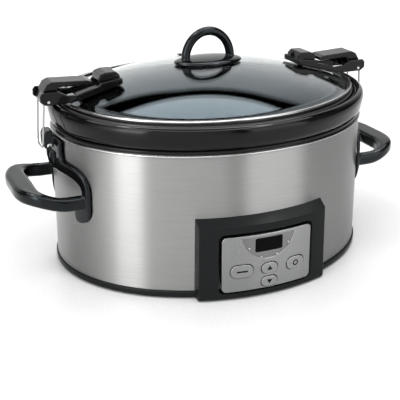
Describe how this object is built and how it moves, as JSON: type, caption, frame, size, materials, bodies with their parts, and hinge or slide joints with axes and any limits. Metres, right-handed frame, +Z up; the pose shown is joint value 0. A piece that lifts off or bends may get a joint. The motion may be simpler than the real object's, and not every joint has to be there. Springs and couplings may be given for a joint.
{
  "type": "slow cooker",
  "caption": "Oval countertop slow cooker with a steel shell, lift-out black stoneware pot, clear domed lid with wire clamp latches, loop handles and a push-button front panel.",
  "frame": {"origin": "centre of the oval footprint, on the surface that the feet stand on", "axes": "+X along the long side to the right-hand handle, -Y towards the control panel, +Z up"},
  "size_m": [0.452, 0.307, 0.2498],
  "materials": {
    "shell_steel": "horizontally brushed stainless steel, clear satin sheen",
    "bright_steel": "polished stainless steel band and spring wire",
    "liner_metal": "plain drawn aluminised liner, dull",
    "face_silver": "satin silver paint on a moulded plate",
    "dark_plastic": "dark grey satin moulded plastic",
    "gloss_black": "gloss black phenolic moulding",
    "black_rubber": "black silicone rubber, matt",
    "stoneware": "black glazed stoneware, glossy",
    "lid_glass": "clear tempered glass",
    "smoked_window": "smoked display window, glossy",
    "circuit_board": "green circuit board",
    "zinc_steel": "zinc plated steel fasteners",
    "glass_fibre": "woven glass-fibre heater tape",
    "button_grey": "light grey satin button caps",
    "light_pipe": "frosted clear light pipe"
  },
  "bodies": {
    "base": {"outer_shell": "shell_steel", "base_pan": "dark_plastic", "top_collar": "dark_plastic", "heating_liner": "liner_metal", "heater_band": "glass_fibre", "centre_stud": "zinc_steel", "centre_nut": "zinc_steel", "thermal_fuse": "zinc_steel", "temperature_sensor": "zinc_steel", "power_board": "circuit_board", "relay": "black_rubber", "cord_gland": "black_rubber", "foot_1": "black_rubber", "foot_2": "black_rubber", "foot_3": "black_rubber", "foot_4": "black_rubber", "foot_screw_1": "zinc_steel", "foot_screw_2": "zinc_steel", "foot_screw_3": "zinc_steel", "foot_screw_4": "zinc_steel", "control_bezel": "dark_plastic", "face_plate": "face_silver", "display_window": "smoked_window", "display_module": "black_rubber", "control_board": "circuit_board", "keypad": "black_rubber", "light_pipe_1": "light_pipe", "light_pipe_2": "light_pipe", "light_pipe_3": "light_pipe", "light_pipe_4": "light_pipe", "left_handle": "gloss_black", "right_handle": "gloss_black", "left_handle_screw_1": "zinc_steel", "left_handle_screw_2": "zinc_steel", "right_handle_screw_1": "zinc_steel", "right_handle_screw_2": "zinc_steel"},
    "crock": {"stoneware_crock": "stoneware"},
    "lid": {"lid_glass": "lid_glass", "lid_rim_band": "bright_steel", "lid_gasket": "black_rubber", "lid_knob": "gloss_black", "knob_screw": "zinc_steel", "knob_washer": "zinc_steel", "vent_grommet": "black_rubber", "left_latch_frame": "dark_plastic", "left_latch_anchor": "dark_plastic", "left_lever_pin": "zinc_steel", "right_latch_frame": "dark_plastic", "right_latch_anchor": "dark_plastic", "right_lever_pin": "zinc_steel"},
    "left_lever": {"left_latch_lever": "dark_plastic"},
    "left_bail": {"left_wire_bail": "bright_steel"},
    "right_lever": {"right_latch_lever": "dark_plastic"},
    "right_bail": {"right_wire_bail": "bright_steel"},
    "select_key": {"select_button": "button_grey"},
    "up_key": {"up_button": "button_grey"},
    "down_key": {"down_button": "button_grey"},
    "off_key": {"off_button": "button_grey"}
  },
  "joints": [
    {"name": "crock_lift", "type": "slide", "parent": "base", "child": "crock", "axis": [0, 0, 1], "range_m": [0, 0.17]},
    {"name": "lid_lift", "type": "slide", "parent": "crock", "child": "lid", "axis": [0, 0, 1], "range_m": [0, 0.09]},
    {"name": "left_lever_hinge", "type": "hinge", "parent": "lid", "child": "left_lever", "pos_m": [-0.183, 0, 0.19], "axis": [0, -1, 0], "range_deg": [0, 110]},
    {"name": "left_bail_hinge", "type": "hinge", "parent": "left_lever", "child": "left_bail", "pos_m": [-0.177, 0, 0.197], "axis": [0, 1, 0], "range_deg": [0, 143]},
    {"name": "right_lever_hinge", "type": "hinge", "parent": "lid", "child": "right_lever", "pos_m": [0.183, 0, 0.19], "axis": [0, 1, 0], "range_deg": [0, 110]},
    {"name": "right_bail_hinge", "type": "hinge", "parent": "right_lever", "child": "right_bail", "pos_m": [0.177, 0, 0.197], "axis": [0, -1, 0], "range_deg": [0, 143]},
    {"name": "select_press", "type": "slide", "parent": "base", "child": "select_key", "axis": [0, 1, 0], "range_m": [0, 0.0008], "stiffness_N_per_m": 400},
    {"name": "up_press", "type": "slide", "parent": "base", "child": "up_key", "axis": [0, 1, 0], "range_m": [0, 0.0008], "stiffness_N_per_m": 400},
    {"name": "down_press", "type": "slide", "parent": "base", "child": "down_key", "axis": [0, 1, 0], "range_m": [0, 0.0008], "stiffness_N_per_m": 400},
    {"name": "off_press", "type": "slide", "parent": "base", "child": "off_key", "axis": [0, 1, 0], "range_m": [0, 0.0008], "stiffness_N_per_m": 400}
  ],
  "couplings": [
    {"joint": "left_bail_hinge", "follows": "left_lever_hinge", "ratio": 1.3},
    {"joint": "right_bail_hinge", "follows": "right_lever_hinge", "ratio": 1.3}
  ]
}
